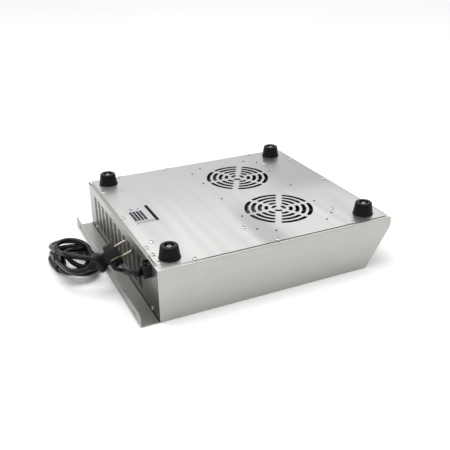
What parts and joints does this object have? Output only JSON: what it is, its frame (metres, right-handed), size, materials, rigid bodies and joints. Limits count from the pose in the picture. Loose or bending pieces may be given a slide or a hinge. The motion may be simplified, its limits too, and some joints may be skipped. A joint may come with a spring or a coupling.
{
  "type": "countertop induction cooker",
  "caption": "Stainless countertop induction cooker lying on its glass, base plate and rubber feet up, with grilled fans, sloped control fascia, rear wall flange and tied mains cord.",
  "frame": {"origin": "centre of the footprint of the housing and rear flange, in the plane of the glass and its frame", "axes": "+Z from the glass towards the base plate and feet, +Y from the control fascia towards the rear panel and cord, +X to the right seen from above with the fascia nearest"},
  "size_m": [0.36, 0.4979, 0.1025],
  "materials": {
    "base_steel": "fine brushed stainless sheet",
    "shell_steel": "brushed stainless sheet",
    "ceramic_black": "polished black glass ceramic",
    "silicone_black": "matt",
    "label_foil": "printed foil",
    "foot_rubber": "matt moulded rubber",
    "zinc_screws": "zinc plated",
    "earth_zinc": "green passivated zinc",
    "dark_rivet": "blackened",
    "fan_plastic": "moulded",
    "impeller_plastic": "moulded",
    "bronze": "sintered",
    "galvanised": "galvanised sheet",
    "turned_aluminium": "turned",
    "ferrite": "matt",
    "coil_plastic": "glass filled",
    "enamelled_copper": "enamelled litz wire",
    "mica": "pressed mica",
    "sensor_ceramic": "glazed",
    "circuit_board": "solder mask",
    "nylon_white": "moulded nylon",
    "extruded_aluminium": "extruded",
    "epoxy_black": "moulded epoxy",
    "film_capacitor": "potted",
    "wire_pvc": "PVC insulation",
    "overlay_film": "printed film",
    "lens_red": "tinted acrylic",
    "machined_steel": "turned",
    "knob_plastic": "moulded",
    "button_red": "moulded",
    "button_grey": "moulded",
    "gland_nylon": "moulded nylon",
    "cord_rubber": "rubber sheathed cable",
    "tie_plastic": "coated wire",
    "plug_rubber": "moulded",
    "nickel_brass": "nickel plated"
  },
  "bodies": {
    "housing": {"base_plate": "base_steel", "side_panel_left": "shell_steel", "side_panel_right": "shell_steel", "front_fascia": "shell_steel", "rear_panel": "shell_steel", "top_frame": "shell_steel", "rear_flange": "shell_steel", "ceramic_glass": "ceramic_black", "glass_seal": "silicone_black", "rating_label": "label_foil", "foot_rear_left": "foot_rubber", "foot_rear_right": "foot_rubber", "foot_front_left": "foot_rubber", "foot_front_right": "foot_rubber", "foot_screws": "zinc_screws", "perimeter_screws": "zinc_screws", "support_screws": "zinc_screws", "earth_screw": "earth_zinc", "duct_rivets": "dark_rivet", "clamp_screws": "dark_rivet", "fan_frame_left": "fan_plastic", "fan_frame_right": "fan_plastic", "fan_bearings": "bronze", "fan_duct": "galvanised", "coil_tray": "galvanised", "coil_supports": "turned_aluminium", "ferrite_bars": "ferrite", "coil_carrier": "coil_plastic", "coil_winding": "enamelled_copper", "filter_choke": "enamelled_copper", "mica_sheet": "mica", "temperature_sensor": "sensor_ceramic", "power_board": "circuit_board", "control_board": "circuit_board", "board_standoffs": "nylon_white", "terminal_block": "nylon_white", "heat_sink": "extruded_aluminium", "power_semiconductors": "epoxy_black", "display_module": "epoxy_black", "button_switches": "epoxy_black", "power_capacitors": "film_capacitor", "inner_leads": "wire_pvc", "control_overlay": "overlay_film", "display_lens": "lens_red", "potentiometer": "machined_steel", "cable_gland": "gland_nylon", "power_cord": "cord_rubber", "cord_hank": "cord_rubber", "plug_lead": "cord_rubber", "cord_tie": "tie_plastic", "plug_body": "plug_rubber", "plug_pins": "nickel_brass", "plug_earth_clips": "nickel_brass"},
    "impeller_left": {"fan_impeller_left": "impeller_plastic"},
    "impeller_right": {"fan_impeller_right": "impeller_plastic"},
    "knob": {"control_knob": "knob_plastic", "knob_shaft": "machined_steel"},
    "power_key": {"button_power": "button_red"},
    "mode_key": {"button_mode": "button_grey"},
    "timer_key": {"button_timer": "button_grey"}
  },
  "joints": [
    {"name": "fan_left_spin", "type": "hinge", "parent": "housing", "child": "impeller_left", "pos_m": [-0.075, -0.066, 0.0685], "axis": [0, 0, 1], "continuous": true},
    {"name": "fan_right_spin", "type": "hinge", "parent": "housing", "child": "impeller_right", "pos_m": [0.075, -0.066, 0.0685], "axis": [0, 0, 1], "continuous": true},
    {"name": "power_knob_turn", "type": "hinge", "parent": "housing", "child": "knob", "pos_m": [-0.1, -0.189, 0.033], "axis": [0, -0.8494, -0.5277], "range_deg": [-270, 0]},
    {"name": "power_button_press", "type": "slide", "parent": "housing", "child": "power_key", "axis": [0, 0.8494, 0.5277], "range_m": [0, 0.0015], "stiffness_N_per_m": 400},
    {"name": "mode_button_press", "type": "slide", "parent": "housing", "child": "mode_key", "axis": [0, 0.8494, 0.5277], "range_m": [0, 0.0015], "stiffness_N_per_m": 400},
    {"name": "timer_button_press", "type": "slide", "parent": "housing", "child": "timer_key", "axis": [0, 0.8494, 0.5277], "range_m": [0, 0.0015], "stiffness_N_per_m": 400}
  ]
}
